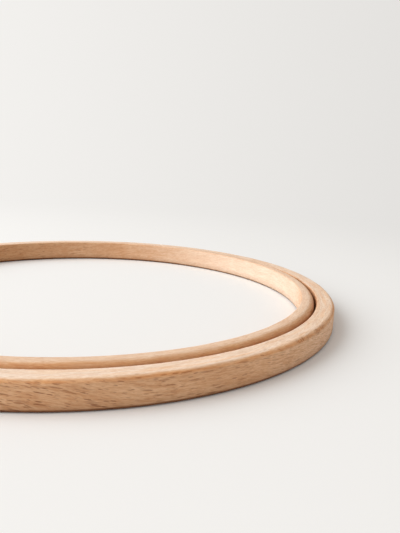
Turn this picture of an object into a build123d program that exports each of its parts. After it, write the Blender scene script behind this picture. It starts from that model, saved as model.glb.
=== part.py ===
from build123d import *
import os
from math import asin, cos, degrees, pi, sin, sqrt

os.makedirs("parts", exist_ok=True)

# Frame: millimetres, +Z up, the hoop lying flat. The origin is the centre of the inner ring's
# opening, halfway up its wall. The clamp is at -X, its screw runs along Y, and the screw's head
# and the end of the outer ring that the screw moves are on the +Y side.

# Wooden rings
outer_diameter = 220.0
outer_wall = 7.4
outer_height = 9.4
outer_outside_round = 1.8
ring_clearance = 0.8
inner_wall = 5.7
inner_height = 10.4
inner_outside_round = 2.0
inner_bore_break = 0.9
flats_per_round = 2

# The split in the outer ring, closed by the clamp
split_width = 11.0
split_edge_break = 0.4

# Folded sheet lugs
sheet = 1.2
lug_width = 8.0
lug_seat_clearance = 0.08
ear_opening = 8.0
ear_bend_radius = 1.0
plate_length = 19.0
lug_corner_share = 0.45
screw_offset = 7.5
ear_margin = 4.2
lip_bend_radius = 0.6
lip_corner_radius = 0.9

# Rivets through the lugs and the wood
rivet_shank_diameter = 2.4
rivet_hole_clearance = 0.05
rivet_head_diameter = 4.6
rivet_head_height = 1.1
rivet_head_flats = 2
rivet_tail_diameter = 4.0
rivet_tail_depth = 1.0
rivet_tail_inset = 0.2
rivet_edge_distance = 6.6
rivet_pitch = 7.4

# Clamp screw, washer and nut
thread_diameter = 4.0
thread_fit = 0.3
screw_hole_clearance = 0.5
washer_diameter = 8.6
washer_thickness = 0.8
washer_bore_clearance = 0.25
shoulder_clearance = 0.08
shoulder_diameter = 6.0
shoulder_length = 1.4
head_diameter = 9.0
head_length = 7.6
head_chamfer = 0.6
knurl_count = 32
knurl_depth = 0.32
slot_width = 1.1
slot_depth = 1.6
tip_chamfer = 0.7
screw_reserve = 5.6
nut_width = 7.0
nut_thickness = 3.2
nut_chamfer = 0.45
nut_clearance = 0.08

# Every cut runs this far past the faces it goes through
overrun = 0.5

# Radii and levels worked out from the sizes above
outer_radius = outer_diameter / 2
outer_bore_radius = outer_radius - outer_wall
inner_outside_radius = outer_bore_radius - ring_clearance
inner_bore_radius = inner_outside_radius - inner_wall
base_level = -inner_height / 2
clamp_level = base_level + outer_height / 2

# Stations of the clamp along Y, measured away from the middle of the split
ear_inside = ear_opening / 2
ear_outside = ear_inside + sheet
nut_start = ear_outside + nut_clearance
nut_end = nut_start + nut_thickness
shank_end = nut_end + screw_reserve
washer_end = ear_outside + washer_thickness
shoulder_start = washer_end + shoulder_clearance
head_start = shoulder_start + shoulder_length
head_end = head_start + head_length

# The screw's axis, square to the radius at -X
screw_radius = outer_radius + screw_offset
screw_axis_point = (-screw_radius, 0, clamp_level)
shank_radius = thread_diameter / 2


def screw_plane(station):
    """The plane square to the screw at a station along Y, facing +Y."""
    origin = (-screw_radius, station, clamp_level)
    return Plane(origin=origin, x_dir=(1, 0, 0), z_dir=(0, 1, 0))


def rivet_directions(side):
    """The outward directions of the two rivets on one side of the split."""
    directions = []
    for along in (rivet_edge_distance, rivet_edge_distance + rivet_pitch):
        turn = degrees((split_width / 2 + along) / outer_radius)
        directions.append(Vector(-1, 0, 0).rotate(Axis.Z, -side * turn))
    return directions


def rivet_plane(outward):
    """The plane that touches the outer ring's outside face at a rivet, facing outward."""
    face_point = outward * outer_radius + Vector(0, 0, clamp_level)
    return Plane(origin=face_point, x_dir=(0, 0, 1), z_dir=outward)


def quarter_round(center, radius, start):
    """Points along a quarter round in short flats, from a start counted in quarter turns."""
    points = []
    for step in range(flats_per_round + 1):
        turn = (start + step / flats_per_round) * pi / 2
        points.append((center[0] + radius * cos(turn), center[1] + radius * sin(turn)))
    return points


def ring_outline(bore_radius, wall, height, outside_round):
    """Corner points of a ring's section, with its two outside edges rounded."""
    top_level = base_level + height
    round_center_x = bore_radius + wall - outside_round
    lower_round = quarter_round((round_center_x, base_level + outside_round), outside_round, -1)
    upper_round = quarter_round((round_center_x, top_level - outside_round), outside_round, 0)
    return [(bore_radius, base_level), *lower_round, *upper_round, (bore_radius, top_level)]


# Inner ring: a closed bentwood hoop, a little taller than the outer one
with BuildPart() as inner_ring:
    with BuildSketch(Plane.XZ) as inner_section:
        outline = ring_outline(inner_bore_radius, inner_wall, inner_height, inner_outside_round)
        Polygon(*outline, align=None)
        chamfer(inner_section.vertices().group_by(Axis.X)[0], inner_bore_break)
    revolve(axis=Axis.Z)
inner_ring.part.label = "inner_ring"

# Outer ring: bentwood, split at the clamp, with the rivets' holes sunk on the bore side
with BuildPart() as outer_ring:
    with BuildSketch(Plane.XZ):
        outline = ring_outline(outer_bore_radius, outer_wall, outer_height, outer_outside_round)
        Polygon(*outline, align=None)
    revolve(axis=Axis.Z)
    split_half = split_width / 2
    outside_x = -sqrt(outer_radius**2 - split_half**2)
    bore_x = -sqrt(outer_bore_radius**2 - split_half**2)
    with BuildSketch(Plane.XY.offset(base_level - overrun)):
        with BuildLine():
            split_side = Polyline(
                (outside_x - overrun, 0),
                (outside_x - overrun, split_half + split_edge_break + overrun),
                (outside_x + split_edge_break, split_half),
                (bore_x - split_edge_break, split_half),
                (bore_x + overrun, split_half + split_edge_break + overrun),
                (bore_x + overrun, 0),
            )
            mirror(split_side, about=Plane.XZ)
        make_face()
    extrude(amount=outer_height + 2 * overrun, mode=Mode.SUBTRACT)
    for side in (-1, 1):
        for outward in rivet_directions(side):
            hole_radius = rivet_shank_diameter / 2 + rivet_hole_clearance
            with Locations(rivet_plane(outward).offset(overrun)):
                Hole(hole_radius, depth=outer_wall + 2 * overrun)
            flare = (rivet_tail_diameter - rivet_shank_diameter) / 2 / rivet_tail_depth
            sink_depth = rivet_tail_depth + rivet_tail_inset + overrun
            with Locations(rivet_plane(outward).offset(-(outer_wall + overrun))):
                Cone(
                    hole_radius + flare * sink_depth,
                    hole_radius,
                    sink_depth,
                    align=(Align.CENTER, Align.CENTER, Align.MIN),
                    mode=Mode.SUBTRACT,
                )
outer_ring.part.label = "outer_ring"


# Centre line of a lug's strip: along the ring, round the bend and out along the ear
def lug_line(side, lipped):
    bend = ear_bend_radius + sheet / 2
    plate_radius = outer_radius + lug_seat_clearance + sheet / 2
    ear_station = ear_inside + sheet / 2
    bend_distance = plate_radius + bend
    bend_station = ear_station + bend
    bend_angle = degrees(asin(bend_station / bend_distance))
    bend_x = -sqrt(bend_distance**2 - bend_station**2)
    plate_turn = degrees(plate_length / plate_radius)
    with BuildLine() as line:
        CenterArc((0, 0), plate_radius, 180 - side * bend_angle, -side * plate_turn)
        CenterArc(
            (bend_x, side * bend_station), bend, -side * bend_angle, -side * (90 - bend_angle)
        )
        if lipped:
            lip_bend = lip_bend_radius + sheet / 2
            lip_x = -(screw_radius + nut_width / 2 + nut_clearance + sheet / 2)
            Line((bend_x, side * ear_station), (lip_x + lip_bend, side * ear_station))
            CenterArc(
                (lip_x + lip_bend, side * (ear_station + lip_bend)),
                lip_bend,
                -side * 90,
                -side * 90,
            )
            Line((lip_x, side * (ear_station + lip_bend)), (lip_x, side * nut_end))
        else:
            ear_end_x = -(screw_radius + ear_margin)
            Line((bend_x, side * ear_station), (ear_end_x, side * ear_station))
    return line.line


# A lug: the strip, its ends rounded, with holes for the two rivets and the screw
def lug(side, lipped):
    with BuildPart() as folded:
        with BuildSketch(Plane.XY.offset(clamp_level - lug_width / 2)):
            trace(lug_line(side, lipped), line_width=sheet)
        extrude(amount=lug_width)
        ends = folded.edges().filter_by(lambda e: abs(e.length - sheet) < sheet / 100)
        plate_corners = ends.sort_by(lambda e: side * e.center().Y)[-2:]
        fillet(plate_corners, lug_corner_share * lug_width)
        ear_corners = folded.edges().filter_by(lambda e: abs(e.length - sheet) < sheet / 100)
        ear_corners = ear_corners.sort_by(Axis.X)[:2]
        fillet(ear_corners, lip_corner_radius if lipped else lug_corner_share * lug_width)
        for outward in rivet_directions(side):
            with Locations(rivet_plane(outward).offset(lug_seat_clearance + sheet + overrun)):
                Hole(rivet_shank_diameter / 2 + rivet_hole_clearance, depth=sheet + 2 * overrun)
        with BuildSketch(screw_plane(side * (ear_inside - overrun))):
            Circle(shank_radius + screw_hole_clearance / 2)
        extrude(amount=side * (sheet + 2 * overrun), mode=Mode.SUBTRACT)
    return folded.part


with BuildPart() as fixed_lug:
    add(lug(-1, True))
fixed_lug.part.label = "fixed_lug"

with BuildPart() as moving_lug:
    add(lug(1, False))
moving_lug.part.label = "moving_lug"


# Rivets: a domed head on the lug, a shank through the wood and a sunk tail in the bore
def rivet_head(seat_level):
    """Points over the domed head, from its rim to its crown."""
    half = rivet_head_diameter / 2
    dome_radius = (half**2 + rivet_head_height**2) / (2 * rivet_head_height)
    center_level = seat_level + rivet_head_height - dome_radius
    points = []
    for step in range(rivet_head_flats, -1, -1):
        turn = asin(half / dome_radius) * step / rivet_head_flats
        points.append((dome_radius * sin(turn), center_level + dome_radius * cos(turn)))
    return points


def rivet_pair(side):
    with BuildPart() as pair:
        for outward in rivet_directions(side):
            root = outward * outer_radius + Vector(0, 0, clamp_level)
            profile_normal = Vector(0, 0, 1).cross(outward)
            tail_level = -outer_wall + rivet_tail_inset
            seat_level = lug_seat_clearance + sheet
            shank = rivet_shank_diameter / 2
            with BuildSketch(Plane(origin=root, x_dir=(0, 0, 1), z_dir=profile_normal)):
                Polygon(
                    (0, tail_level),
                    (rivet_tail_diameter / 2, tail_level),
                    (shank, tail_level + rivet_tail_depth),
                    (shank, seat_level),
                    *rivet_head(seat_level),
                    align=None,
                )
            revolve(axis=Axis(root, outward))
    return pair.part


with BuildPart() as fixed_lug_rivets:
    add(rivet_pair(-1))
fixed_lug_rivets.part.label = "fixed_lug_rivets"

with BuildPart() as moving_lug_rivets:
    add(rivet_pair(1))
moving_lug_rivets.part.label = "moving_lug_rivets"

# Washer under the screw's shoulder
with BuildPart() as screw_washer:
    with BuildSketch(screw_plane(ear_outside)):
        Circle(washer_diameter / 2)
        Circle(shank_radius + washer_bore_clearance, mode=Mode.SUBTRACT)
    extrude(amount=washer_thickness)
screw_washer.part.label = "screw_washer"

# Square nut, held from turning by the fixed lug's lip
with BuildPart() as captive_nut:
    with BuildSketch(screw_plane(-nut_start)):
        Rectangle(nut_width, nut_width)
        Circle(shank_radius + thread_fit, mode=Mode.SUBTRACT)
    extrude(amount=-nut_thickness)
    rims = captive_nut.faces().filter_by(Axis.Y).edges().filter_by(GeomType.LINE)
    chamfer(rims, nut_chamfer)
captive_nut.part.label = "captive_nut"

# Thumb screw: turned on one axis, then knurled and slotted
with BuildPart() as thumb_screw:
    with BuildSketch(Plane(origin=screw_axis_point, x_dir=(1, 0, 0), z_dir=(0, 0, 1))):
        with BuildLine():
            Polyline(
                (0, -shank_end),
                (shank_radius - tip_chamfer, -shank_end),
                (shank_radius, -shank_end + tip_chamfer),
                (shank_radius, shoulder_start),
                (shoulder_diameter / 2, shoulder_start),
                (shoulder_diameter / 2, head_start),
                (head_diameter / 2 - head_chamfer, head_start),
                (head_diameter / 2, head_start + head_chamfer),
                (head_diameter / 2, head_end - head_chamfer),
                (head_diameter / 2 - head_chamfer, head_end),
                (0, head_end),
                (0, -shank_end),
            )
        make_face()
    revolve(axis=Axis(screw_axis_point, (0, 1, 0)))
    with BuildSketch(screw_plane(head_start - overrun)):
        with PolarLocations(head_diameter / 2, knurl_count):
            RegularPolygon(knurl_depth, 4)
    extrude(amount=head_length + 2 * overrun, mode=Mode.SUBTRACT)
    with BuildSketch(screw_plane(head_end - slot_depth)):
        Rectangle(head_diameter + overrun, slot_width)
    extrude(amount=slot_depth + overrun, mode=Mode.SUBTRACT)
thumb_screw.part.label = "thumb_screw"

export_step(inner_ring.part, "parts/inner_ring.step")
export_step(outer_ring.part, "parts/outer_ring.step")
export_step(fixed_lug.part, "parts/fixed_lug.step")
export_step(moving_lug.part, "parts/moving_lug.step")
export_step(fixed_lug_rivets.part, "parts/fixed_lug_rivets.step")
export_step(moving_lug_rivets.part, "parts/moving_lug_rivets.step")
export_step(screw_washer.part, "parts/screw_washer.step")
export_step(captive_nut.part, "parts/captive_nut.step")
export_step(thumb_screw.part, "parts/thumb_screw.step")
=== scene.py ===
import math
import random

import bmesh
import bpy
import numpy as np
from mathutils import Matrix, Vector
from mathutils.geometry import tessellate_polygon


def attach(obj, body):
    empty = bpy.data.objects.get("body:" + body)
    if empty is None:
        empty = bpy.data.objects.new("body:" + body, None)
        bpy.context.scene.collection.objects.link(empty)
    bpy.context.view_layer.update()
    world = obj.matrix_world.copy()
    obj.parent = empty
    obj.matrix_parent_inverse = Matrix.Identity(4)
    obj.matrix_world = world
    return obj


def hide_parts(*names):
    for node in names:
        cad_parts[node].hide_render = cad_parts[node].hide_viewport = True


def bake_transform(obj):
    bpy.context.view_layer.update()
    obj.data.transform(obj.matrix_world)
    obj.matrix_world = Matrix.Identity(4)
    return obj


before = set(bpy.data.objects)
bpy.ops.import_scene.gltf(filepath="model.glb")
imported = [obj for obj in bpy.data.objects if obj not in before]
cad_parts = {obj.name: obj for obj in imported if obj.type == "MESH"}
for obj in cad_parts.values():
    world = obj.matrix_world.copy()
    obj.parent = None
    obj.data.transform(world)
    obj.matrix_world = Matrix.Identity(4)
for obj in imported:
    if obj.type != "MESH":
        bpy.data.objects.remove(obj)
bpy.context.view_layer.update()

MM = 0.001
TAU = 2 * math.pi

# Wooden rings, in millimetres. A size that the CAD has too is the same in both
OUTER_RADIUS, OUTER_WALL, OUTER_HEIGHT = 110.0, 7.4, 9.4
RING_CLEARANCE = 0.8
INNER_WALL, INNER_HEIGHT = 5.7, 10.4
OUTER_BORE = OUTER_RADIUS - OUTER_WALL
INNER_OUTSIDE = OUTER_BORE - RING_CLEARANCE
INNER_BORE = INNER_OUTSIDE - INNER_WALL
SPLIT_HALF = 5.5
BASE = -INNER_HEIGHT / 2
CLAMP_LEVEL = BASE + OUTER_HEIGHT / 2

# The rings' corners, which are plainer in the CAD, and how finely the rings are made
INNER_ROUNDS = {"bore_low": 1.5, "outside_low": 1.6, "outside_high": 2.8, "bore_high": 0.8}
OUTER_ROUNDS = {"bore_low": 0.3, "outside_low": 1.1, "outside_high": 1.7, "bore_high": 0.7}
ROUND_STEPS = 7
SECTION_STEP = 0.7
INNER_COLUMNS, OUTER_COLUMNS = 1400, 1500

# The wood's surface lies this far inside the CAD's, and waves inward from there
SKIN = 0.01

# Folded lugs. Bends, stations and the plate's radius are taken at the middle of the sheet
SHEET = 1.2
CLEARANCE = 0.08
LUG_WIDTH, PLATE_LENGTH = 8.0, 19.0
LUG_ROUND = 0.45 * LUG_WIDTH
LIP_ROUND = 0.9
SHEET_EDGE = 0.16
PLATE_RADIUS = OUTER_RADIUS + CLEARANCE + SHEET / 2
EAR_OPENING = 8.0
EAR_BEND = 1.0 + SHEET / 2
EAR_STATION = (EAR_OPENING + SHEET) / 2
EAR_OUTSIDE = EAR_OPENING / 2 + SHEET
SCREW_OFFSET, EAR_MARGIN = 7.5, 4.2
SCREW_X = -(OUTER_RADIUS + SCREW_OFFSET)
EAR_END_X = SCREW_X - EAR_MARGIN

# Rivets: places along the ring, radii, and levels outward from the wood's outside face
RIVET_EDGE, RIVET_PITCH = 6.6, 7.4
RIVET_STATIONS = (SPLIT_HALF + RIVET_EDGE, SPLIT_HALF + RIVET_EDGE + RIVET_PITCH)
RIVET_ANGLES = tuple(math.degrees(station / OUTER_RADIUS) for station in RIVET_STATIONS)
RIVET_SHANK = 1.2
RIVET_HOLE = RIVET_SHANK + 0.05
RIVET_HEAD, HEAD_RISE = 2.3, 1.1
RIVET_TAIL, TAIL_DEPTH, TAIL_INSET = 2.0, 1.0, 0.2
TAIL_END = TAIL_INSET - OUTER_WALL
TAIL_START = TAIL_END + TAIL_DEPTH

# Nut, washer and screw: radii, and distances along the screw from the middle of the clamp
THREAD_RADIUS, THREAD_PITCH, THREAD_DEPTH, TIP_CHAMFER = 2.0, 0.7, 0.43, 0.7
CREST_SHARE, FLANK_SHARE = 0.12, 0.63
SCREW_HOLE = THREAD_RADIUS + 0.25
NUT_WIDTH, NUT_THICKNESS, NUT_ROUND, NUT_EDGE = 7.0, 3.2, 0.35, 0.45
NUT_START = EAR_OUTSIDE + CLEARANCE
NUT_END = NUT_START + NUT_THICKNESS
LIP_BEND = 0.6 + SHEET / 2
LIP_X = SCREW_X - NUT_WIDTH / 2 - CLEARANCE - SHEET / 2
WASHER_RADIUS, WASHER_THICKNESS = 4.3, 0.8
WASHER_END = EAR_OUTSIDE + WASHER_THICKNESS
SHOULDER_RADIUS, SHOULDER_LENGTH = 3.0, 1.4
SHOULDER_START = WASHER_END + CLEARANCE
HEAD_RADIUS, HEAD_LENGTH = 4.5, 7.6
HEAD_START = SHOULDER_START + SHOULDER_LENGTH
HEAD_END = HEAD_START + HEAD_LENGTH
SCREW_RESERVE = 5.6
SHANK_END = -(NUT_END + SCREW_RESERVE)
KNURLS, KNURL_DEPTH, KNURL_SHARE = 32, 0.32, 0.32
SLOT_WIDTH, SLOT_DEPTH = 1.1, 1.6
SCREW_POINT, SCREW_AXIS = (SCREW_X, 0, CLAMP_LEVEL), (0, 1, 0)

# Cutters run at least this far past the faces that they go through
OVERRUN = 0.5

SQUARE = ((-1, -1), (1, -1), (1, 1), (-1, 1))

# Masks painted on the wood's meshes: the last two carry painted highlight and shade
MASKS = ("facing", "upward", "shoulder", "end_face", "torn", "glue", "tone", "gap_shade")


# Shader helpers
class Shade:
    """Builds one node material: most calls add a node and give its output socket."""

    def __init__(self, name):
        self.material = bpy.data.materials.new(name)
        self.material.use_nodes = True
        self.start(self.material.node_tree, "ShaderNodeOutputMaterial")

    def start(self, tree, output):
        """Empties a node tree and puts in its output."""
        self.tree = tree
        self.tree.nodes.clear()
        self.output = self.tree.nodes.new(output)

    def put(self, socket, value):
        if isinstance(value, bpy.types.NodeSocket):
            self.tree.links.new(value, socket)
        elif value is not None:
            socket.default_value = value

    def node(self, kind, **settings):
        made = self.tree.nodes.new(kind)
        for key, value in settings.items():
            setattr(made, key, value)
        return made

    def math(self, operation, a, b=None, c=None, clamp=False):
        made = self.node("ShaderNodeMath", operation=operation, use_clamp=clamp)
        for socket, value in zip(made.inputs, (a, b, c)):
            self.put(socket, value)
        return made.outputs[0]

    def times(self, a, b, clamp=False):
        return self.math("MULTIPLY", a, b, clamp=clamp)

    def plus(self, total, value, factor, clamp=False):
        """A total with a value times a factor added to it."""
        return self.math("MULTIPLY_ADD", value, factor, total, clamp)

    def plus_centred(self, total, value, factor, clamp=False):
        """The same for a value that lies round 0.5 and counts from there."""
        return self.plus(total, self.math("SUBTRACT", value, 0.5), factor, clamp)

    def length(self, a, b):
        """The length of the line that goes a one way and b square to it."""
        return self.math("SQRT", self.math("ADD", self.times(a, a), self.times(b, b)))

    def attribute(self, name, output):
        return self.node("ShaderNodeAttribute", attribute_name=name).outputs[output]

    def combine(self, x, y, z):
        made = self.node("ShaderNodeCombineXYZ")
        for socket, value in zip(made.inputs, (x, y, z)):
            self.put(socket, value)
        return made.outputs[0]

    def split(self, vector):
        made = self.node("ShaderNodeSeparateXYZ")
        self.put(made.inputs[0], vector)
        return made.outputs

    def scaled(self, vector, scale, offset):
        made = self.node("ShaderNodeVectorMath", operation="MULTIPLY_ADD")
        for socket, value in zip(made.inputs, (vector, scale, offset)):
            self.put(socket, value)
        return made.outputs[0]

    def noise(self, vector, scale, detail, roughness, distortion=0.0, shift=(0, 0, 0)):
        made = self.node("ShaderNodeTexNoise", noise_dimensions="3D")
        self.put(made.inputs["Vector"], self.scaled(vector, scale, shift))
        self.put(made.inputs["Scale"], 1.0)
        self.put(made.inputs["Detail"], detail)
        self.put(made.inputs["Roughness"], roughness)
        self.put(made.inputs["Distortion"], distortion)
        return made.outputs["Fac"]

    def cells(self, vector):
        made = self.node("ShaderNodeTexVoronoi", voronoi_dimensions="3D", feature="F1")
        self.put(made.inputs["Vector"], vector)
        self.put(made.inputs["Scale"], 1.0)
        return made.outputs["Distance"], made.outputs["Color"]

    def remap(self, value, low, high, to_low=0.0, to_high=1.0, smooth=True):
        made = self.node("ShaderNodeMapRange")
        made.interpolation_type = "SMOOTHSTEP" if smooth else "LINEAR"
        self.put(made.inputs["Value"], value)
        self.put(made.inputs["From Min"], low)
        self.put(made.inputs["From Max"], high)
        self.put(made.inputs["To Min"], to_low)
        self.put(made.inputs["To Max"], to_high)
        return made.outputs["Result"]

    def mix(self, share, a, b, blend="MIX"):
        made = self.node("ShaderNodeMix", data_type="RGBA", blend_type=blend)
        self.put(made.inputs[0], share)
        for socket, value in ((made.inputs[6], a), (made.inputs[7], b)):
            if isinstance(value, tuple):
                value = (*value, 1.0)
            self.put(socket, value)
        return made.outputs[2]

    def tint(self, share, colour, tint):
        """A colour multiplied by a tint, to a share of its full strength."""
        return self.mix(share, colour, self.mix(1.0, colour, tint, "MULTIPLY"))

    def bump(self, height, distance, strength):
        made = self.node("ShaderNodeBump")
        self.put(made.inputs["Strength"], strength)
        self.put(made.inputs["Distance"], distance)
        self.put(made.inputs["Height"], height)
        return made.outputs[0]

    def show(self, shader):
        self.put(self.output.inputs["Surface"], shader.outputs[0])

    def surface(self, **values):
        made = self.node("ShaderNodeBsdfPrincipled")
        for key, value in values.items():
            self.put(made.inputs[key.replace("_", " ")], value)
        self.show(made)

    def show_either(self, share, first, second):
        """Shows one shader where the share is 0 and another where it is 1."""
        made = self.node("ShaderNodeMixShader")
        for socket, value in zip(made.inputs, (share, first.outputs[0], second.outputs[0])):
            self.put(socket, value)
        self.show(made)


def linear(red, green, blue):
    """Linear colour from 0 to 255 screen values."""
    out = []
    for value in (red, green, blue):
        share = value / 255
        out.append(share / 12.92 if share <= 0.04045 else ((share + 0.055) / 1.055) ** 2.4)
    return tuple(out)


# Beech. Its nodes follow the strip: along it, across its wall and up its height, in metres
def strip_flow(shade, grain, shift):
    """The strip's coordinates, bent so that fibres wander and lean as they run along."""
    along, across, height = shade.split(grain)
    wander = shade.noise(grain, (55, 40, 40), 2.0, 0.5, shift=shift)
    slant = shade.noise(grain, (14, 5, 5), 1.0, 0.5, shift=shift)
    lean = shade.plus(height, along, 0.09)
    lean = shade.plus(lean, wander, 0.0018)
    lean = shade.plus(lean, slant, 0.011)
    drift = shade.plus(across, along, 0.012)
    drift = shade.plus(drift, wander, 0.0014)
    return along, drift, lean


def flecks(shade, along, across, length, width, share, seed):
    """Short dashes lying along the grain: how strong each one is at a point."""
    spot = shade.combine(
        shade.plus(seed, along, 1 / length), shade.plus(seed * 0.7, across, 1 / width), 0.0
    )
    bend = shade.noise(spot, (1.7, 1.7, 1.0), 2.0, 0.6)
    distance, cell = shade.cells(spot)
    distance = shade.plus_centred(distance, bend, 0.7)
    chance, strength, size = shade.split(cell)
    reach = shade.times(
        shade.remap(size, 0.0, 1.0, 0.2, 0.5, smooth=False),
        shade.math("GREATER_THAN", chance, 1.0 - share),
    )
    inside = shade.remap(shade.math("SUBTRACT", reach, distance), -0.02, 0.2)
    return shade.times(inside, shade.remap(strength, 0.0, 1.0, 0.2, 1.0, smooth=False))


def end_grain(shade, grain, shift):
    """Growth bands, pale rays and dark pores on a cut end: its colour, and the pores alone."""
    band = shade.noise(grain, (4, 700, 60), 2.0, 0.5, 0.3, shift)
    ray = shade.noise(grain, (4, 420, 2600), 2.0, 0.5, shift=shift)
    pore = shade.noise(grain, (9000, 9000, 9000), 2.0, 0.7, shift=shift)
    tone = shade.plus_centred(0.5, band, 1.6)
    tone = shade.plus_centred(tone, ray, -1.0)
    tone = shade.plus_centred(tone, pore, 2.2, clamp=True)
    return shade.mix(tone, linear(205, 160, 122), linear(142, 99, 68)), pore


def beech(
    name, seed, top, side, streak_tint, corner_tint, fleck_tint, fleck_share, fleck_low, warmth
):
    """One ring's wood: fleck_low is how strong its flecks stay where highlight is painted, and
    warmth how strong the orange streaks are on its top."""
    shade = Shade(name)
    shift = (seed * 1.7, seed * 0.9, seed * 1.3)
    grain = shade.attribute("grain", "Vector")
    facing, upward, shoulder, end_face, torn, glue, tone, gap_shade = (
        shade.attribute(mask, "Fac") for mask in MASKS
    )
    # The tone mask is painted light: above 0 painted shade, below 0 painted highlight
    painted_shade = shade.math("MAXIMUM", tone, 0.0)
    painted_highlight = shade.times(shade.math("MINIMUM", tone, 0.0), -1.0)
    along, drift, lean = strip_flow(shade, grain, shift)
    flow = shade.combine(along, drift, lean)

    # Ground colour: painted light makes the top paler than the walls; warm streaks on the top
    colour = shade.mix(shade.remap(upward, 0.4, 0.96), side, top)
    warm = shade.noise(flow, (48, 760, 300), 3.0, 0.62, 0.4, shift)
    warm = shade.times(shade.remap(warm, 0.44, 0.62, 0.0, warmth), upward)
    colour = shade.tint(warm, colour, (0.98, 0.83, 0.66))
    # Painted shade and painted highlight on stretches round the ring
    colour = shade.tint(painted_shade, colour, (0.78, 0.68, 0.55))
    colour = shade.mix(painted_highlight, colour, linear(250, 232, 214))

    # Figure, streaks and fibres, fainter on the top and where highlight is painted
    figure = shade.noise(flow, (70, 420, 340), 3.0, 0.55, 0.4, shift)
    streak = shade.noise(flow, (190, 2500, 2300), 3.0, 0.62, 0.3, shift)
    streak = shade.remap(streak, 0.38, 0.64)
    fibre = shade.noise(flow, (620, 3500, 3300), 2.0, 0.6, shift=shift)
    amount = shade.plus(0.12, streak, 0.46)
    amount = shade.plus(amount, shade.remap(figure, 0.34, 0.66), 0.3)
    amount = shade.plus(amount, shade.remap(fibre, 0.36, 0.64), 0.34, clamp=True)
    amount = shade.times(amount, shade.remap(upward, 0.0, 1.0, 1.0, 0.84))
    amount = shade.times(amount, shade.remap(painted_highlight, 0.0, 1.0, 1.0, 0.6))
    colour = shade.tint(amount, colour, streak_tint)

    # The upper outside corner is deeper in colour, unevenly
    worn = shade.noise(flow, (90, 900, 700), 3.0, 0.6, shift=shift)
    worn = shade.remap(worn, 0.34, 0.66, 0.5, 1.0)
    worn = shade.times(shade.remap(shoulder, 0.0, 0.8), worn)
    colour = shade.tint(worn, colour, corner_tint)

    # Ray flecks: two sizes on the walls, and a few faint ones on the top
    mark = shade.math(
        "MAXIMUM",
        flecks(shade, along, lean, 0.0044, 0.00058, fleck_share, seed),
        flecks(shade, along, lean, 0.0023, 0.0004, fleck_share * 0.8, seed + 9.1),
    )
    strength = shade.remap(tone, -0.1, 0.35, fleck_low, 1.0)
    mark = shade.times(mark, shade.times(shade.remap(facing, 0.05, 0.7), strength))
    faint = flecks(shade, along, drift, 0.0024, 0.0006, 0.3, seed + 4.3)
    faint = shade.times(faint, shade.remap(upward, 0.5, 1.0, 0.0, 0.35))
    mark = shade.math("MAXIMUM", mark, faint)
    colour = shade.tint(mark, colour, fleck_tint)

    # Painted shade: walls darker low down and a dark foot where they meet the floor, and the gap
    # walls darker
    height = shade.split(grain)[2]
    low = shade.remap(height, BASE * MM + 0.0002, BASE * MM + 0.0042, 0.3, 0.0)
    contact_shade = shade.remap(height, BASE * MM + 0.0006, BASE * MM + 0.0015, 1.0, 0.0)
    contact_shade = shade.times(contact_shade, shade.remap(painted_highlight, 0.0, 1.0, 1.0, 0.35))
    low = shade.math("MAXIMUM", shade.times(low, facing), contact_shade, clamp=True)
    colour = shade.tint(low, colour, (0.3, 0.2, 0.12))
    # Painted shade on the walls of the gap between the rings
    colour = shade.tint(gap_shade, colour, (0.72, 0.56, 0.42))

    # Torn fibres: short dark ticks across the corner
    rip = shade.noise(flow, (2100, 700, 600), 2.0, 0.6, 0.6, (3.0, seed, 1.0))
    rip = shade.times(shade.remap(rip, 0.5, 0.58), torn, clamp=True)
    colour = shade.tint(rip, colour, (0.62, 0.45, 0.31))

    end_colour, pore = end_grain(shade, grain, shift)
    colour = shade.mix(end_face, colour, end_colour)
    colour = shade.mix(glue, colour, linear(120, 82, 52))

    relief = shade.plus(shade.times(fibre, 0.8), mark, -1.1)
    relief = shade.plus(relief, streak, -0.3)
    relief = shade.plus(relief, rip, -2.2)
    relief = shade.plus(relief, shade.times(pore, end_face), 0.8)
    shade.surface(
        Base_Color=colour,
        Roughness=shade.remap(fibre, 0.2, 0.8, 0.54, 0.7),
        Specular_IOR_Level=0.35,
        Normal=shade.bump(relief, 0.00008, 0.8),
    )
    return shade.material


# Brass: tumbled sheet, pressed rivets, and turned parts with rings round the screw's axis
def brass(name, light, dark, roughness, on_axis):
    shade = Shade(name)
    place = shade.node("ShaderNodeTexCoord").outputs["Object"]
    cloud = shade.noise(place, (260, 260, 260), 4.0, 0.6)
    fine = shade.noise(place, (2600, 2600, 2600), 3.0, 0.7)
    if on_axis:
        to_axis = (-SCREW_X * MM, 0, -CLAMP_LEVEL * MM)
        x, y, z = shade.split(shade.scaled(place, (1, 1, 1), to_axis))
        rings = shade.combine(shade.length(x, z), y, 0.0)
        marks = shade.noise(rings, (14000, 9000, 1), 2.0, 0.6)
    else:
        marks = shade.noise(place, (9000, 900, 2200), 2.0, 0.6, 0.6)
    tone = shade.plus_centred(0.35, cloud, 1.5, clamp=True)
    rough = shade.plus(shade.plus(roughness, cloud, 0.16), marks, 0.1)
    height = shade.plus(shade.times(fine, 0.4), marks, 0.6)
    shade.surface(
        Base_Color=shade.mix(tone, light, dark),
        Metallic=1.0,
        Roughness=rough,
        Normal=shade.bump(height, 0.00001, 0.5),
    )
    return shade.material


# The top colours are paler than the side colours as painted light: lit top, shaded walls
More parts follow.
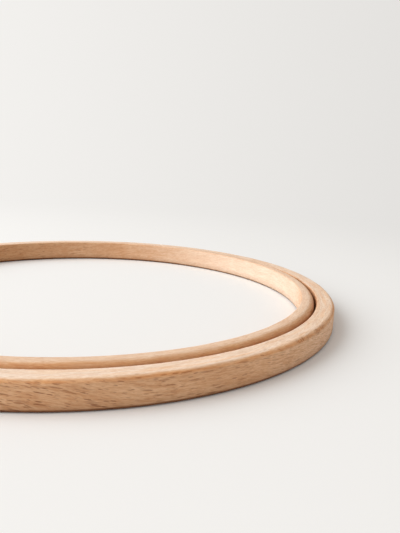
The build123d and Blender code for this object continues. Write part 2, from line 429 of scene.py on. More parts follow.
beech_inner = beech(
    "beech_inner",
    seed=2,
    top=linear(245, 219, 195),
    side=linear(235, 194, 156),
    streak_tint=(0.78, 0.62, 0.5),
    corner_tint=(0.92, 0.78, 0.6),
    fleck_tint=(0.62, 0.48, 0.38),
    fleck_share=0.4,
    fleck_low=0.2,
    warmth=0.25,
)
beech_outer = beech(
    "beech_outer",
    seed=5,
    top=linear(255, 236, 219),
    side=linear(235, 193, 154),
    streak_tint=(0.76, 0.61, 0.49),
    corner_tint=(0.95, 0.78, 0.58),
    fleck_tint=(0.47, 0.33, 0.24),
    fleck_share=0.85,
    fleck_low=0.5,
    warmth=0.75,
)
brass_sheet = brass("brass_sheet", (0.80, 0.60, 0.31), (0.66, 0.46, 0.21), 0.2, False)
brass_rivet = brass("brass_rivet", (0.78, 0.57, 0.29), (0.62, 0.43, 0.2), 0.18, False)
brass_turned = brass("brass_turned", (0.83, 0.63, 0.33), (0.7, 0.5, 0.24), 0.14, True)


# Outlines
def arc(center, radius, start, turn, steps):
    """Points on an arc, angles in degrees."""
    out = []
    for i in range(steps + 1):
        angle = math.radians(start + turn * i / steps)
        out.append((center[0] + radius * math.cos(angle), center[1] + radius * math.sin(angle)))
    return out


def circle(center, radius, count):
    return arc(center, radius, 0, 360 - 360 / count, count - 1)


def rounded(points, closed, steps=5):
    """A line of (x, y, radius) corners with each corner rounded to its radius."""
    out = []
    for i, (x, y, radius) in enumerate(points):
        if not radius or (not closed and i in (0, len(points) - 1)):
            out.append((x, y))
            continue
        here = Vector((x, y))
        back = (Vector(points[i - 1][:2]) - here).normalized()
        ahead = (Vector(points[(i + 1) % len(points)][:2]) - here).normalized()
        half = back.angle(ahead) / 2
        center = here + (back + ahead).normalized() * radius / math.sin(half)
        first = here + back * radius / math.tan(half) - center
        last = here + ahead * radius / math.tan(half) - center
        start = math.degrees(math.atan2(first.y, first.x))
        turn = math.degrees(math.atan2(last.y, last.x)) - start
        turn = (turn + 180) % 360 - 180
        out.extend(arc(center, radius, start, turn, steps))
    return out


def dense(points, step):
    """A line of points with more put in about every step, all but its last point."""
    out = []
    for here, after in zip(points, points[1:]):
        count = max(1, round(math.dist(here[:2], after[:2]) / step))
        for i in range(count):
            out.append(tuple(a + (b - a) * i / count for a, b in zip(here, after)))
    return out


# Mesh helpers
def add_object(name, data):
    made = bpy.data.objects.new(name, data)
    bpy.context.scene.collection.objects.link(made)
    return made


def millimetre_mesh(name, verts, faces):
    mesh = bpy.data.meshes.new(name)
    mesh.from_pydata([tuple(c * MM for c in v) for v in verts], [], faces)
    return mesh


def finish_mesh(name, verts, faces, material, sharp):
    """A smooth-shaded object, doubled points joined, sharp where faces meet past an angle."""
    mesh = millimetre_mesh(name, verts, faces)
    work = bmesh.new()
    work.from_mesh(mesh)
    bmesh.ops.remove_doubles(work, verts=work.verts, dist=2e-7)
    bmesh.ops.dissolve_degenerate(work, edges=work.edges, dist=2e-7)
    bmesh.ops.recalc_face_normals(work, faces=work.faces)
    work.to_mesh(mesh)
    work.free()
    mesh.shade_smooth()
    mesh.set_sharp_from_angle(angle=math.radians(sharp))
    mesh.materials.append(material)
    return add_object(name, mesh)


def level_normals(piece):
    """Shading that keeps large faces flat beside their rounded edges."""
    weighted = piece.modifiers.new("level", "WEIGHTED_NORMAL")
    weighted.keep_sharp = True
    weighted.weight = 100


def merge(piece, other):
    """Adds another piece's mesh to a piece and removes the other."""
    work = bmesh.new()
    work.from_mesh(piece.data)
    work.from_mesh(other.data)
    work.to_mesh(piece.data)
    work.free()
    bpy.data.objects.remove(other)


def cut_away(piece, cutter):
    """Takes a cutter's shape out of a piece and removes the cutter."""
    cut = piece.modifiers.new("cut", "BOOLEAN")
    cut.operation = "DIFFERENCE"
    cut.solver = "EXACT"
    cut.object = cutter
    result = bpy.data.meshes.new_from_object(
        piece.evaluated_get(bpy.context.evaluated_depsgraph_get())
    )
    piece.modifiers.clear()
    piece.data = result
    bpy.data.objects.remove(cutter)


def grid_faces(rows, count, closed):
    """Faces between rows of points, each row a loop, and from the last to the first if closed."""
    faces = []
    for i in range(rows if closed else rows - 1):
        j = (i + 1) % rows
        for k in range(count):
            m = (k + 1) % count
            faces.append((i * count + k, i * count + m, j * count + m, j * count + k))
    return faces


def turned(name, profile, count, origin, axis, material, loop=False, radius_at=None, sharp=50):
    """A turned piece from (along, radius) points, from one end to the other or round a loop."""
    side, up, out = Vector(axis).to_track_quat("Z", "Y").to_matrix().col
    verts = []
    for along, radius in profile:
        for k in range(count):
            angle = TAU * k / count
            reach = radius if radius_at is None else radius_at(along, radius, angle)
            verts.append(
                Vector(origin)
                + out * along
                + side * (reach * math.cos(angle))
                + up * (reach * math.sin(angle))
            )
    return finish_mesh(name, verts, grid_faces(len(profile), count, loop), material, sharp)


def loop_normals(loop):
    """At each point of a flat loop, the direction to its left."""
    normals = []
    for i in range(len(loop)):
        a, b, c = (Vector(loop[(i + k) % len(loop)]) for k in (-1, 0, 1))
        flow = (b - a).normalized() + (c - b).normalized()
        flow.normalize()
        normals.append(Vector((-flow.y, flow.x)))
    return normals


def edge_steps(thickness, edge):
    """(inset, depth) pairs over a plate's edge, from one face round to the other."""
    steps = []
    for i in range(4):
        angle = math.radians(90 - 30 * i)
        steps.append((edge - edge * math.cos(angle), thickness / 2 - edge + edge * math.sin(angle)))
    return steps + [(inset, -depth) for inset, depth in steps[::-1]]


def plate(name, rim, holes, thickness, edge, cuts, place, material):
    """A plate from its outline and holes, its edges rounded, bent by place(u, v, depth)."""
    work = bmesh.new()
    ends = ([], [])
    for loop in [rim, *(hole[::-1] for hole in holes)]:
        normals = loop_normals(loop)
        rows = []
        for inset, depth in edge_steps(thickness, edge):
            row = [
                work.verts.new((p[0] + n.x * inset, p[1] + n.y * inset, depth))
                for p, n in zip(loop, normals)
            ]
            rows.append(row)
        for first, second in zip(rows, rows[1:]):
            for k in range(len(loop)):
                m = (k + 1) % len(loop)
                work.faces.new((first[k], second[k], second[m], first[m]))
        ends[0].append(rows[0])
        ends[1].append(rows[-1])
    for group in ends:
        flat = [v for row in group for v in row]
        for triangle in tessellate_polygon([[v.co.copy() for v in row] for row in group]):
            work.faces.new([flat[i] for i in triangle])
    for cut in cuts:
        geometry = list(work.verts) + list(work.edges) + list(work.faces)
        bmesh.ops.bisect_plane(work, geom=geometry, plane_co=(cut, 0, 0), plane_no=(1, 0, 0))
    verts = [place(*v.co) for v in work.verts]
    work.verts.index_update()
    faces = [[v.index for v in face.verts] for face in work.faces]
    work.free()
    made = finish_mesh(name, verts, faces, material, 60)
    level_normals(made)
    return made


# Ring meshes
def section(bore_radius, wall, height, rounds):
    """Outline of a ring's section, anticlockwise, as rows of radius, level and outward normal."""
    low, high = BASE, BASE + height
    left, right = bore_radius, bore_radius + wall
    corners = (
        (left, low, rounds["bore_low"], 180),
        (right, low, rounds["outside_low"], 270),
        (right, high, rounds["outside_high"], 0),
        (left, high, rounds["bore_high"], 90),
    )
    points = []
    for x, z, radius, start in corners:
        center_x = x + (radius if x == left else -radius)
        center_z = z + (radius if z == low else -radius)
        for i in range(ROUND_STEPS + 1):
            angle = math.radians(start + 90 * i / ROUND_STEPS)
            normal = (math.cos(angle), math.sin(angle))
            points.append((center_x + radius * normal[0], center_z + radius * normal[1], *normal))
    return np.array(dense(points + points[:1], SECTION_STEP))


def corner_vertices(mesh):
    """The vertex of every face corner."""
    vertices = np.zeros(len(mesh.loops), np.int64)
    mesh.loops.foreach_get("vertex_index", vertices)
    return vertices


def add_grain(mesh, grain, masks):
    """The wood's own coordinates, in metres, and masks, at every face corner."""
    mesh.attributes.new("grain", "FLOAT_VECTOR", "CORNER")
    for name in MASKS:
        mesh.attributes.new(name, "FLOAT", "CORNER")
    flat = (grain * MM).astype(np.float32).reshape(-1)
    mesh.attributes["grain"].data.foreach_set("vector", flat)
    for name, values in masks.items():
        mesh.attributes[name].data.foreach_set("value", values.astype(np.float32))


def over_seam(mesh, along, length):
    """The coordinate along a closed strip, running on over its seam instead of jumping back."""
    starts = np.zeros(len(mesh.polygons), np.int64)
    totals = np.zeros(len(mesh.polygons), np.int64)
    mesh.polygons.foreach_get("loop_start", starts)
    mesh.polygons.foreach_get("loop_total", totals)
    first = np.repeat(along[starts], totals)
    return along + np.where(first - along > length / 2, length, 0)


# How deep the glue line lies, and how far a strip is drawn in where it is all end grain
GLUE_DEPTH = 0.05
END_GRAIN_INSET = 0.3


def corner_share(normal_r, normal_z):
    """1 in the middle of the upper outside corner, 0 on the faces."""
    return 4 * normal_r**2 * normal_z**2 * (normal_r > 0) * (normal_z > 0)


def ring_object(
    name, outline, columns, turn_of, push_of, painted_light_of, gap_shade, material, insets=None, glue=None
):
    """A ring swept from an outline over columns: closed on itself or, where insets are given,
    open with capped ends and drawn in by them. Glue is how much glue shows at each column."""
    radius, level, normal_r, normal_z = (row[None, :] for row in outline.T)
    count, rows = outline.shape[0], len(columns)
    closed = insets is None
    insets = np.zeros(rows) if closed else insets
    glue = np.zeros(rows) if glue is None else glue

    # Adding this gives a row or column of values the shape of the whole grid
    grid = np.zeros((rows, count))
    turn = turn_of(columns[:, None] + grid, radius + grid)
    push, torn = push_of(turn, normal_r, normal_z)
    push = push - insets[:, None] - GLUE_DEPTH * glue[:, None]
    moved = radius + push * normal_r
    xyz = np.stack([moved * np.cos(turn), moved * np.sin(turn), level + push * normal_z], -1)
    faces = grid_faces(rows, count, closed)
    if not closed:
        faces.append(tuple(range(count))[::-1])
        faces.append(tuple((rows - 1) * count + k for k in range(count)))
    mesh = bpy.data.meshes.new(name)
    mesh.from_pydata((xyz.reshape(-1, 3) * MM).tolist(), [], faces)

    vertices = corner_vertices(mesh)
    middle = float(radius.mean())
    grain = np.stack([turn * middle, radius + grid, level + grid], -1).reshape(-1, 3)[vertices]
    if closed:
        grain[:, 0] = over_seam(mesh, grain[:, 0], TAU * middle)
    end_face = np.clip(insets / END_GRAIN_INSET, 0, 1)[:, None]
    masks = {
        "facing": normal_r**2 * (1 - end_face),
        "upward": np.clip(normal_z, 0, 1) ** 2 + grid,
        "shoulder": corner_share(normal_r, normal_z) + grid,
        "end_face": end_face + grid,
        "torn": torn,
        "glue": glue[:, None] + grid,
        # The next mask carries painted highlight and shade
        "tone": painted_light_of(turn, normal_r, normal_z),
        # The next mask carries painted shade in the gap
        "gap_shade": gap_shade[None, :] + grid,
    }
    add_grain(mesh, grain, {key: mask.reshape(-1)[vertices] for key, mask in masks.items()})
    mesh.shade_smooth()
    mesh.materials.append(material)
    return add_object(name, mesh)


def waves(turn, seed, counts, size):
    """A smooth wobble round the ring, between 0 and size."""
    chance = random.Random(seed)
    total = np.zeros_like(turn)
    for count in counts:
        total += np.sin(count * turn + chance.uniform(0, TAU)) * chance.uniform(0.5, 1.0)
    return size * 0.5 * (1 + np.clip(total / len(counts), -1, 1))


def uneven(turn, seed, step):
    """Smooth random values from 0 to 1 round the ring, about one every step millimetres."""
    about_radius = 106.0
    count = int(TAU * about_radius / step)
    knots = np.random.default_rng(seed).random(count)
    place = (turn / TAU * count) % count
    low = np.floor(place).astype(int) % count
    share = place - np.floor(place)
    share = share * share * (3 - 2 * share)
    return knots[low] * (1 - share) + knots[(low + 1) % count] * share


def by_angle(turn, table):
    """A value round the ring that runs straight from each (angle, value) pair to the next."""
    angles, values = zip(*table)
    return np.interp(np.degrees(turn) % 360, angles, values, period=360)


def gap_shade_mask(outline, inward, level, fade=1.6):
    """The walls of the gap between the rings, where shade is painted: full low down and fading out
    up to a level.
    """
    facing = np.clip(-outline[:, 2] if inward else outline[:, 2], 0, 1)
    return facing * np.clip((level - outline[:, 1]) / fade, 0, 1)


# Painted light round each strip: paler stretches are painted highlight, deeper ones painted shade;
# positive is deeper
INNER_BORE_PAINTED_LIGHT = (
    (345, 0.0), (5, -0.84), (34, -0.84), (50, -0.7), (66, -0.46), (88, 0.0),
    (112, 0.3), (126, 0.9), (146, 0.9), (170, 0.2), (210, 0.0),
)
INNER_REST_PAINTED_LIGHT = ((0, 0.0), (40, 0.1), (90, 0.15), (140, 0.1), (200, 0.1), (270, 0.08))
OUTER_WALL_PAINTED_LIGHT = (
    (235, 0.4), (262, 0.28), (287, 0.22), (305, 0.05), (330, -0.18), (350, 0.0), (60, 0.2),
    (180, 0.3),
)
OUTER_TOP_PAINTED_LIGHT = (
    (10, 0.2), (45, 0.15), (90, 0.18), (140, 0.15), (200, 0.05), (250, -0.42), (275, -0.45),
    (300, 0.02), (335, 0.34),
)


# Painted highlight and shade round the inner ring, bore and rest apart
def inner_painted_light(turn, normal_r, normal_z):
    bore = np.clip(-normal_r, 0, 1) ** 2
    return bore * by_angle(turn, INNER_BORE_PAINTED_LIGHT) + (1 - bore) * by_angle(turn, INNER_REST_PAINTED_LIGHT)


# Painted highlight and shade round the outer ring, top and walls apart
def outer_painted_light(turn, normal_r, normal_z):
    top = np.clip(normal_z, 0, 1) ** 2
    return top * by_angle(turn, OUTER_TOP_PAINTED_LIGHT) + (1 - top) * by_angle(turn, OUTER_WALL_PAINTED_LIGHT)


# Inner ring, closed by a long scarf joint that runs slantwise through its wall
SCARF_START, SCARF_TURN = math.radians(-150), 0.3

# The joint's glue line, as (distance from the joint, how much glue shows) pairs
GLUE_LINE = ((0.0, 1.0), (0.05, 0.8), (0.11, 0.25), (0.2, 0.0))


def inner_push(turn, normal_r, normal_z):
    """How far the surface stands out at each point, and where its fibres are torn: nowhere."""
    sanded = 0.10 * uneven(turn, 21, 9.0) + 0.05 * uneven(turn, 22, 3.0)
    push = -SKIN - waves(turn, 3, (5, 9, 14, 23, 37), 0.07)
    push = push - sanded * corner_share(normal_r, normal_z)
    return push, np.zeros_like(push)


def inner_turn(share, radius):
    """The angle at a share of the way round, larger farther out in the wall."""
    return SCARF_START + share * TAU + SCARF_TURN * (radius - INNER_BORE) / INNER_WALL


def inner_ring():
    outline = section(INNER_BORE, INNER_WALL, INNER_HEIGHT, INNER_ROUNDS)
    distance, glue = np.array(GLUE_LINE).T
    near = distance / (TAU * INNER_OUTSIDE)
    body_start = 0.0008
    body = np.linspace(body_start, 1 - body_start, INNER_COLUMNS)
    return ring_object(
        "inner_ring_wood",
        outline,
        np.concatenate([near, body, 1 - near[:0:-1]]),
        inner_turn,
        inner_push,
        inner_painted_light,
        gap_shade_mask(outline, False, 4.3),
        beech_inner,
        glue=np.concatenate([glue, np.zeros(len(body)), glue[:0:-1]]),
    )


# Outer ring, with flat ends and with holes for its rivets that are sunk on the bore side

# Places where fibres are torn out of its upper corner, as angle, spread and strength
TEARS = (
    (-38.0, 1.5, 1.0), (-35.4, 0.9, 0.7), (-31.0, 1.0, 1.0), (-27.8, 1.5, 1.0),
    (-24.0, 1.0, 0.5), (64.0, 2.4, 0.7), (-128.0, 2.0, 0.7),
)

# The ends' eased edges, as (distance from the end, inset) pairs
END_EASE = ((0.0, 0.4), (0.0, 0.3), (0.04, 0.15), (0.15, 0.04), (0.3, 0.0))


def outer_push(turn, normal_r, normal_z):
    """How far the surface stands out at each point, and how much its fibres are torn."""
    corner = corner_share(normal_r, normal_z)
    sanded = 0.18 * uneven(turn, 31, 11.0) + 0.12 * uneven(turn, 32, 3.4)
    push = -SKIN - waves(turn, 8, (4, 7, 13, 21, 34, 55), 0.06) - sanded * corner
    torn = np.zeros_like(push)
    for angle, reach, strength in TEARS:
        near = np.exp(-(((np.degrees(turn) - angle) / reach) ** 2)) * strength
        torn = np.maximum(torn, near * np.clip(corner * 1.6, 0, 1))
    nicks = np.clip(uneven(turn, 33, 0.8) - 0.5, 0, 1)
    return push - torn * nicks, torn


def outer_turn(share, radius):
    """The angle at a share of the way to an end, so that each end is flat."""
    return share * (math.pi - np.arcsin(SPLIT_HALF / radius))


def rivet_pose(side, angle):
    """Where a rivet's line meets the outer ring's outside face, and its direction outward."""
    turn = math.radians(180 - side * angle)
    outward = Vector((math.cos(turn), math.sin(turn), 0))
    return outward * OUTER_RADIUS + Vector((0, 0, CLAMP_LEVEL)), outward


def rivet_cutter(side, angle, middle):
    """The shape of a rivet's hole, with the grain that its walls take on."""
    flare = (RIVET_TAIL - RIVET_SHANK) / TAIL_DEPTH
    outside, sunk = 0.6, -OUTER_WALL - OVERRUN
    profile = [
        (outside, 0),
        (outside, RIVET_HOLE),
        (TAIL_START, RIVET_HOLE),
        (sunk, RIVET_HOLE + flare * (TAIL_START - sunk)),
        (sunk, 0),
    ]
    cutter = turned("cutter", profile, 32, *rivet_pose(side, angle), beech_outer)
    mesh = cutter.data
    mesh.shade_smooth()
    vertices = corner_vertices(mesh)
    co = np.zeros(len(mesh.vertices) * 3)
    mesh.vertices.foreach_get("co", co)
    x, y, z = (co.reshape(-1, 3)[vertices] / MM).T
    grain = np.stack([np.arctan2(y, x) * middle, np.hypot(x, y), z], -1)
    nothing = np.zeros(len(vertices))
    add_grain(mesh, grain, {name: nothing for name in MASKS})
    return cutter


def outer_ring():
    outline = section(OUTER_BORE, OUTER_WALL, OUTER_HEIGHT, OUTER_ROUNDS)
    half_length = (math.pi - SPLIT_HALF / OUTER_RADIUS) * OUTER_RADIUS
    ease, inset = np.array(END_EASE).T
    ease = ease / half_length
    body_end = 1 - 0.8 / half_length
    body = np.linspace(-body_end, body_end, OUTER_COLUMNS)
    ring = ring_object(
        "outer_ring_wood",
        outline,
        np.concatenate([-1 + ease, body, 1 - ease[::-1]]),
        outer_turn,
        outer_push,
        outer_painted_light,
        gap_shade_mask(outline, True, 4.0),
        beech_outer,
        insets=np.concatenate([inset, np.zeros(len(body)), inset[::-1]]),
    )
    middle = float(outline[:, 0].mean())
    for side in (-1, 1):
        for angle in RIVET_ANGLES:
            cut_away(ring, rivet_cutter(side, angle, middle))
    ring.data.set_sharp_from_angle(angle=math.radians(40))
    return ring


# Rivets: domed head on the lug, shank through the wood, rolled tail in the bore
def rivet_profile():
    seat = CLEARANCE + SHEET
    dome = (RIVET_HEAD**2 + HEAD_RISE**2) / (2 * HEAD_RISE)
    center = seat + HEAD_RISE - dome
    sweep = 0.97 * math.asin(RIVET_HEAD / dome)
    crown = [(center + dome * math.cos(a), dome * math.sin(a)) for a in np.linspace(0, sweep, 12)]
    tail = rounded(
        [
            (seat, RIVET_HEAD, 0),
            (seat, RIVET_SHANK, 0),
            (TAIL_START, RIVET_SHANK, 0),
            (TAIL_END, RIVET_TAIL, 0.25),
            (TAIL_END + TAIL_INSET, 1.15, 0.3),
            (TAIL_START - 0.1, 0.75, 0.1),
            (TAIL_START, 0, 0),
        ],
        False,
    )
    return crown + [(seat + 0.06, RIVET_HEAD - 0.01)] + tail


def rivets(name, side):
    profile = rivet_profile()
    near, far = (
        turned(name, profile, 40, *rivet_pose(side, angle), brass_rivet) for angle in RIVET_ANGLES
    )
    merge(near, far)
    return near


# Lugs: one strip each, along the ring, round the bend, out along the ear, and for the nut a lip
def lug_segments(side, lipped):
    """The strip's middle line as arcs and straight runs, from the plate's end to the ear's end,
    with the angle and the place along X where the bend starts."""
    distance = PLATE_RADIUS + EAR_BEND
    bend_y = EAR_STATION + EAR_BEND
    lean = math.asin(bend_y / distance)
    bend_x = -distance * math.cos(lean)
    plate_turn = PLATE_LENGTH / PLATE_RADIUS
    start = math.pi - side * (lean + plate_turn)
    ear_start = (bend_x, side * EAR_STATION)
    segments = [
        ("arc", (0, 0), PLATE_RADIUS, start, side * plate_turn),
        ("arc", (bend_x, side * bend_y), EAR_BEND, -side * lean, -side * (math.pi / 2 - lean)),
    ]
    if lipped:
        lip_start = (LIP_X + LIP_BEND, side * EAR_STATION)
        corner = (LIP_X + LIP_BEND, side * (EAR_STATION + LIP_BEND))
        quarter = -side * math.pi / 2
        segments.append(("run", ear_start, lip_start))
        segments.append(("arc", corner, LIP_BEND, quarter, quarter))
        segments.append(("run", (LIP_X, corner[1]), (LIP_X, side * NUT_END)))
    else:
        segments.append(("run", ear_start, (EAR_END_X, side * EAR_STATION)))
    return segments, lean, bend_x


def segment_length(segment):
    if segment[0] == "arc":
        return segment[2] * abs(segment[4])
    return math.dist(segment[1], segment[2])


def along_strip(segments, travel):
    """Place and direction at a distance along the strip's middle line."""
    for i, segment in enumerate(segments):
        length = segment_length(segment)
        if travel <= length or i == len(segments) - 1:
            break
        travel -= length
    if segment[0] == "arc":
        _, center, radius, start, turn = segment
        angle = start + turn * travel / length
        place = (center[0] + radius * math.cos(angle), center[1] + radius * math.sin(angle))
        sign = math.copysign(1, turn)
        return place, (-sign * math.sin(angle), sign * math.cos(angle))
    _, first, last = segment
    way = ((last[0] - first[0]) / length, (last[1] - first[1]) / length)
    return (first[0] + way[0] * travel, first[1] + way[1] * travel), way


def lug(name, side, lipped):
    segments, lean, bend_x = lug_segments(side, lipped)
    lengths = [segment_length(segment) for segment in segments]
    total = sum(lengths)
    bend_start, bend_end = lengths[0], lengths[0] + lengths[1]
    half = LUG_WIDTH / 2
    far = LIP_ROUND if lipped else LUG_ROUND
    rim = rounded(
        [(0, -half, LUG_ROUND), (total, -half, far), (total, half, far), (0, half, LUG_ROUND)],
        True,
        10,
    )
    plate_end = lean + PLATE_LENGTH / PLATE_RADIUS
    holes = []
    for angle in RIVET_ANGLES:
        station = (plate_end - math.radians(angle)) * PLATE_RADIUS
        holes.append(circle((station, 0), RIVET_HOLE, 32))
    holes.append(circle((bend_end + (bend_x - SCREW_X), 0), SCREW_HOLE, 40))

    # Cuts across the strip, so that it has points to bend at
    step = 0.7
    cuts = list(np.arange(step, bend_start, step))
    cuts += list(np.linspace(bend_start, bend_end, 11))
    if lipped:
        lip_start = sum(lengths[:3])
        cuts += list(np.linspace(lip_start, lip_start + lengths[3], 9))

    def place(u, v, depth):
        spot, way = along_strip(segments, u)
        return (spot[0] + way[1] * depth, spot[1] - way[0] * depth, v + CLAMP_LEVEL)

    return plate(name, rim, holes, SHEET, SHEET_EDGE, cuts, place, brass_sheet)


# Square nut with softened corners
def nut():
    half = NUT_WIDTH / 2
    rim = rounded([(x * half, y * half, NUT_ROUND) for x, y in SQUARE], True)
    hole = circle((0, 0), SCREW_HOLE, 40)
    middle = -(NUT_START + NUT_END) / 2

    def place(u, v, depth):
        return (SCREW_X + u, middle + depth, CLAMP_LEVEL + v)

    return plate("nut_square", rim, [hole], NUT_THICKNESS, NUT_EDGE, (), place, brass_turned)


# Washer under the screw's shoulder
def washer():
    corners = [
        (EAR_OUTSIDE, SCREW_HOLE, 0.12),
        (EAR_OUTSIDE, WASHER_RADIUS, 0.2),
        (WASHER_END, WASHER_RADIUS, 0.2),
        (WASHER_END, SCREW_HOLE, 0.12),
    ]
    profile = rounded(corners, True, 4)
    return turned("washer_turned", profile, 64, SCREW_POINT, SCREW_AXIS, brass_turned, loop=True)


# Thumb screw: threaded shank, shoulder, knurled head with a slot
def thread_radius(along, angle):
    """The thread's radius: a flat crest, two flanks and a flat root."""
    phase = (along / THREAD_PITCH - angle / TAU) % 1.0
    climb = abs(phase - 0.5) * 2
    return THREAD_RADIUS - THREAD_DEPTH * min(1.0, max(0.0, (climb - CREST_SHARE) / FLANK_SHARE))


def threaded_shank():
    """Rows of points that climb one pitch a turn, with both ends filled."""
    count, per_pitch = 40, 8
    rows = int((SHOULDER_START - SHANK_END) / THREAD_PITCH * per_pitch) + per_pitch + 2
    verts, faces = [], []
    for i in range(rows):
        for k in range(count):
            angle = TAU * k / count
            along = SHANK_END + (i / per_pitch - 1 + k / count) * THREAD_PITCH
            along = min(max(along, SHANK_END), SHOULDER_START + 0.2)
            at_tip = THREAD_RADIUS - TIP_CHAMFER + (along - SHANK_END)
            radius = min(thread_radius(along, angle), at_tip)
            x, z = radius * math.cos(angle), radius * math.sin(angle)
            verts.append((SCREW_X + x, along, CLAMP_LEVEL + z))
    for i in range(rows - 1):
        for k in range(count):
            m = (k + 1) % count
            climb = 0 if m else per_pitch
            if i + 1 + climb < rows:
                here, there = i * count + k, (i + climb) * count + m
                faces.append((here, there, there + count, here + count))
    shank = finish_mesh("screw_thumb", verts, faces, brass_turned, 80)
    work = bmesh.new()
    work.from_mesh(shank.data)
    bmesh.ops.holes_fill(work, edges=work.edges, sides=0)
    bmesh.ops.recalc_face_normals(work, faces=work.faces)
    work.to_mesh(shank.data)
    work.free()
    return shank


def knurled(along, radius, angle):
    """The head's radius where grooves run along it; the shoulder stays plain."""
    if along < HEAD_START - 0.01:
        return radius
    phase = (angle * KNURLS / TAU) % 1.0
    groove = KNURL_DEPTH * max(0.0, 1 - abs(phase - 0.5) / KNURL_SHARE)
    return min(radius, HEAD_RADIUS - groove)


def screw_head():
    line = rounded(
        [
            (SHOULDER_START, 0, 0),
            (SHOULDER_START, SHOULDER_RADIUS, 0.15),
            (HEAD_START, SHOULDER_RADIUS, 0.2),
            (HEAD_START, HEAD_RADIUS, 0.5),
            (HEAD_END, HEAD_RADIUS, 0.55),
            (HEAD_END, 0, 0),
        ],
        False,
        6,
    )
    return turned(
        "head",
        dense(line, 0.45) + [line[-1]],
        KNURLS * 10,
        SCREW_POINT,
        SCREW_AXIS,
        brass_turned,
        radius_at=knurled,
        sharp=40,
    )


def slot_cutter():
    """A box as wide and deep as the slot, running out of the head on three sides."""
    corners = [
        (SCREW_X + x * (HEAD_RADIUS + OVERRUN), y, CLAMP_LEVEL + z * SLOT_WIDTH / 2)
        for x in (-1, 1)
        for y in (HEAD_END - SLOT_DEPTH, HEAD_END + OVERRUN)
        for z in (-1, 1)
    ]
    sides = [(0, 1, 3, 2), (4, 6, 7, 5), (0, 4, 5, 1), (2, 3, 7, 6), (0, 2, 6, 4), (1, 5, 7, 3)]
    return add_object("slot", millimetre_mesh("slot", corners, sides))


def screw():
    piece, head = threaded_shank(), screw_head()
    cut_away(head, slot_cutter())
    merge(piece, head)
    piece.data.set_sharp_from_angle(angle=math.radians(40))
    return piece


def stand_for(piece, node, body):
    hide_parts(node)
    if body:
        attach(piece, body)


inner = inner_ring()
outer = outer_ring()
stand_for(inner, "inner_ring", "inner_ring")
stand_for(outer, "outer_ring", None)
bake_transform(outer)
stand_for(lug("lug_fixed", -1, True), "fixed_lug", "outer_frame")
stand_for(lug("lug_moving", 1, False), "moving_lug", "moving_end")
stand_for(rivets("rivets_fixed", -1), "fixed_lug_rivets", "outer_frame")
stand_for(rivets("rivets_moving", 1), "moving_lug_rivets", "moving_end")
stand_for(nut(), "captive_nut", "outer_frame")
stand_for(washer(), "screw_washer", "moving_end")
stand_for(screw(), "thumb_screw", "thumb_screw")

# Stage: a pale floor that fades into the same pale background
floor_reach = 6
floor_corners = [(x * floor_reach, y * floor_reach, BASE * MM) for x, y in SQUARE]
floor_mesh = bpy.data.meshes.new("floor")
floor_mesh.from_pydata(floor_corners, [], [(0, 1, 2, 3)])
floor = add_object("floor", floor_mesh)

PALE_LEFT = linear(244, 242, 239)
PALE_RIGHT = linear(226, 224, 221)


def backdrop(shade, direction):
    """The background's colour: a pale grey, lighter on the window's side."""
    x, y, _ = shade.split(direction)
    side = shade.math("DIVIDE", x, shade.length(x, y))
    return shade.mix(shade.remap(side, -0.42, 0.42, smooth=False), PALE_LEFT, PALE_RIGHT)


def sees_backdrop(shade):
    """1 for the rays that see the backdrop: from the camera, a reflection or through glass."""
    path = shade.node("ShaderNodeLightPath")
    direct = shade.math("MAXIMUM", path.outputs["Is Camera Ray"], path.outputs["Is Glossy Ray"])
    return shade.math("MAXIMUM", direct, path.outputs["Is Transmission Ray"])


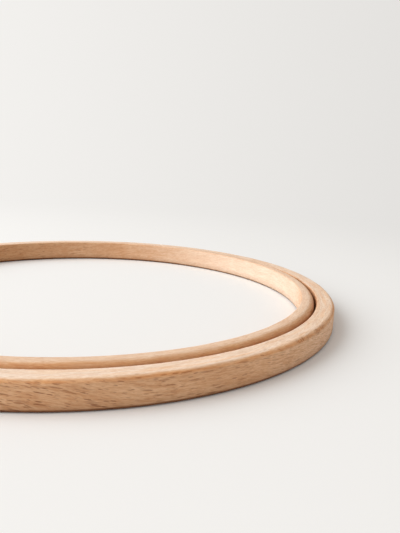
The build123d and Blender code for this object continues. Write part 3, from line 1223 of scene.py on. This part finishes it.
def floor_material():
    """Lit and shadowed near the part, and the backdrop's own colour farther out."""
    shade = Shade("floor_pale")
    position = shade.node("ShaderNodeNewGeometry").outputs["Position"]
    lit = shade.node("ShaderNodeBsdfDiffuse")
    shade.put(lit.inputs["Color"], (0.87, 0.865, 0.855, 1))
    glow = shade.node("ShaderNodeEmission")

    # Seen from about here, the far floor has the background's colour in each direction
    view_point = (0.05, -0.24)
    direction = shade.scaled(position, (1, 1, 1), (-view_point[0], -view_point[1], 0))
    shade.put(glow.inputs["Color"], backdrop(shade, direction))
    x, y, _ = shade.split(position)
    far = shade.remap(shade.length(x, y), 0.14, 0.5)
    shade.show_either(shade.times(far, sees_backdrop(shade)), lit, glow)
    return shade.material


floor.data.materials.append(floor_material())


class WorldShade(Shade):
    """The same helpers on the nodes of a new world."""

    def __init__(self, name):
        self.world = bpy.data.worlds.new(name)
        self.world.use_nodes = True
        self.start(self.world.node_tree, "ShaderNodeOutputWorld")


def studio():
    """Soft warm light from all round; the camera and reflections see a pale backdrop."""
    shade = WorldShade("studio")
    soft = shade.node("ShaderNodeBackground")
    shade.put(soft.inputs["Color"], (1.0, 0.975, 0.94, 1))
    shade.put(soft.inputs["Strength"], 0.58)
    pale = shade.node("ShaderNodeBackground")
    direction = shade.node("ShaderNodeTexCoord").outputs["Generated"]
    shade.put(pale.inputs["Color"], backdrop(shade, direction))
    shade.show_either(sees_backdrop(shade), soft, pale)
    return shade.world


bpy.context.scene.world = studio()

# Window: one large soft light, high on the left, that shines on the middle of the hoop
window_light = bpy.data.lights.new("window", "AREA")
window_light.shape = "DISK"
window_light.size = 1.9
window_light.energy = 29.4
window = add_object("window", window_light)
window_place = Vector((-1.35, -0.142, 1.023))
window.location = window_place
window.rotation_euler = (-window_place).to_track_quat("-Z", "Y").to_euler()

# Camera: where the photograph was taken from, found by fitting the rings' edges
FILM_SIZE = 36.0
PHOTO_HEIGHT, FOCAL_PIXELS = 533, 541.6
CAMERA_PLACE = (0.051654, -0.237549, 0.06207)
CAMERA_DOWN, CAMERA_ROLL = 0.20468, 0.04588
camera_data = bpy.data.cameras.new("camera")
camera_data.sensor_fit = "AUTO"
camera_data.sensor_width = FILM_SIZE
camera_data.lens = FILM_SIZE * FOCAL_PIXELS / PHOTO_HEIGHT
camera_data.clip_start = 0.005
camera_data.clip_end = 30
camera = add_object("camera", camera_data)
tilt = Matrix.Rotation(math.radians(90) - CAMERA_DOWN, 4, "X")
roll = Matrix.Rotation(CAMERA_ROLL, 4, "Z")
camera.matrix_world = Matrix.Translation(CAMERA_PLACE) @ tilt @ roll
bpy.context.scene.camera = camera

bpy.context.scene.view_settings.view_transform = "Standard"
